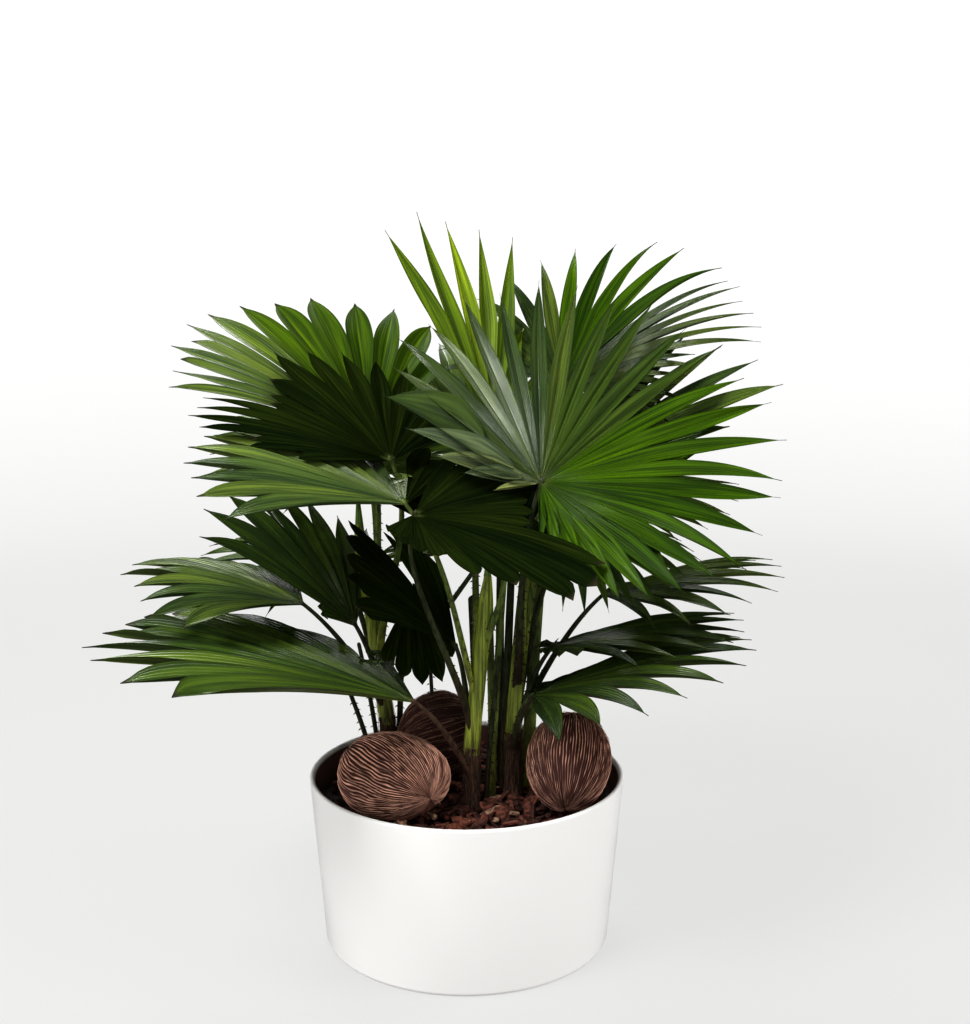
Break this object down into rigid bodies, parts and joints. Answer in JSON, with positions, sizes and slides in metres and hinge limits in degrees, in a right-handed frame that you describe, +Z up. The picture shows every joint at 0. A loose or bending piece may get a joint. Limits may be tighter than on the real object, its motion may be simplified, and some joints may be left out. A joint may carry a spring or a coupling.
{
  "type": "potted footstool palm",
  "caption": "Fan palm with a clump of short stems, thorny petioles and pleated round fronds, in a low round white pot topped with bark mulch and dried seed husks.",
  "frame": {"origin": "middle of the pot's flat underside, on the surface it stands on", "axes": "+Z up the plant; -Y towards the viewer of the picture, so +X is to the viewer's right"},
  "size_m": [0.6001, 0.5775, 0.6476],
  "materials": {
    "pot_white": "satin",
    "mulch_bark": "matte",
    "husk_fibre": "matte",
    "trunk_fibre": "matte",
    "sheath_green": "satin",
    "spear_green": "satin",
    "petiole_green": "satin",
    "leaf_green": "satin"
  },
  "bodies": {
    "root": {"pot": "pot_white", "mulch": "mulch_bark", "husk_left": "husk_fibre", "husk_right": "husk_fibre", "husk_back": "husk_fibre", "trunk_centre": "trunk_fibre", "sheath_centre": "sheath_green", "spear_centre": "spear_green", "trunk_right": "trunk_fibre", "sheath_right": "sheath_green", "spear_right": "spear_green", "trunk_left": "trunk_fibre", "sheath_left": "sheath_green", "spear_left": "spear_green", "petiole_01": "petiole_green", "petiole_02": "petiole_green", "petiole_03": "petiole_green", "petiole_04": "petiole_green", "petiole_05": "petiole_green", "petiole_06": "petiole_green", "petiole_07": "petiole_green", "petiole_08": "petiole_green", "petiole_09": "petiole_green", "petiole_10": "petiole_green", "petiole_11": "petiole_green", "petiole_12": "petiole_green", "petiole_13": "petiole_green", "petiole_14": "petiole_green", "petiole_15": "petiole_green", "petiole_16": "petiole_green", "petiole_17": "petiole_green", "petiole_18": "petiole_green", "petiole_19": "petiole_green", "petiole_20": "petiole_green", "petiole_21": "petiole_green", "petiole_22": "petiole_green", "petiole_23": "petiole_green", "fan_01": "leaf_green", "fan_02": "leaf_green", "fan_03": "leaf_green", "fan_04": "leaf_green", "fan_05": "leaf_green", "fan_06": "leaf_green", "fan_07": "leaf_green", "fan_08": "leaf_green", "fan_09": "leaf_green", "fan_10": "leaf_green", "fan_11": "leaf_green", "fan_12": "leaf_green", "fan_13": "leaf_green", "fan_14": "leaf_green", "fan_15": "leaf_green", "fan_16": "leaf_green", "fan_17": "leaf_green", "fan_18": "leaf_green", "fan_19": "leaf_green", "fan_20": "leaf_green", "fan_21": "leaf_green", "fan_22": "leaf_green", "fan_23": "leaf_green"}
  },
  "joints": []
}
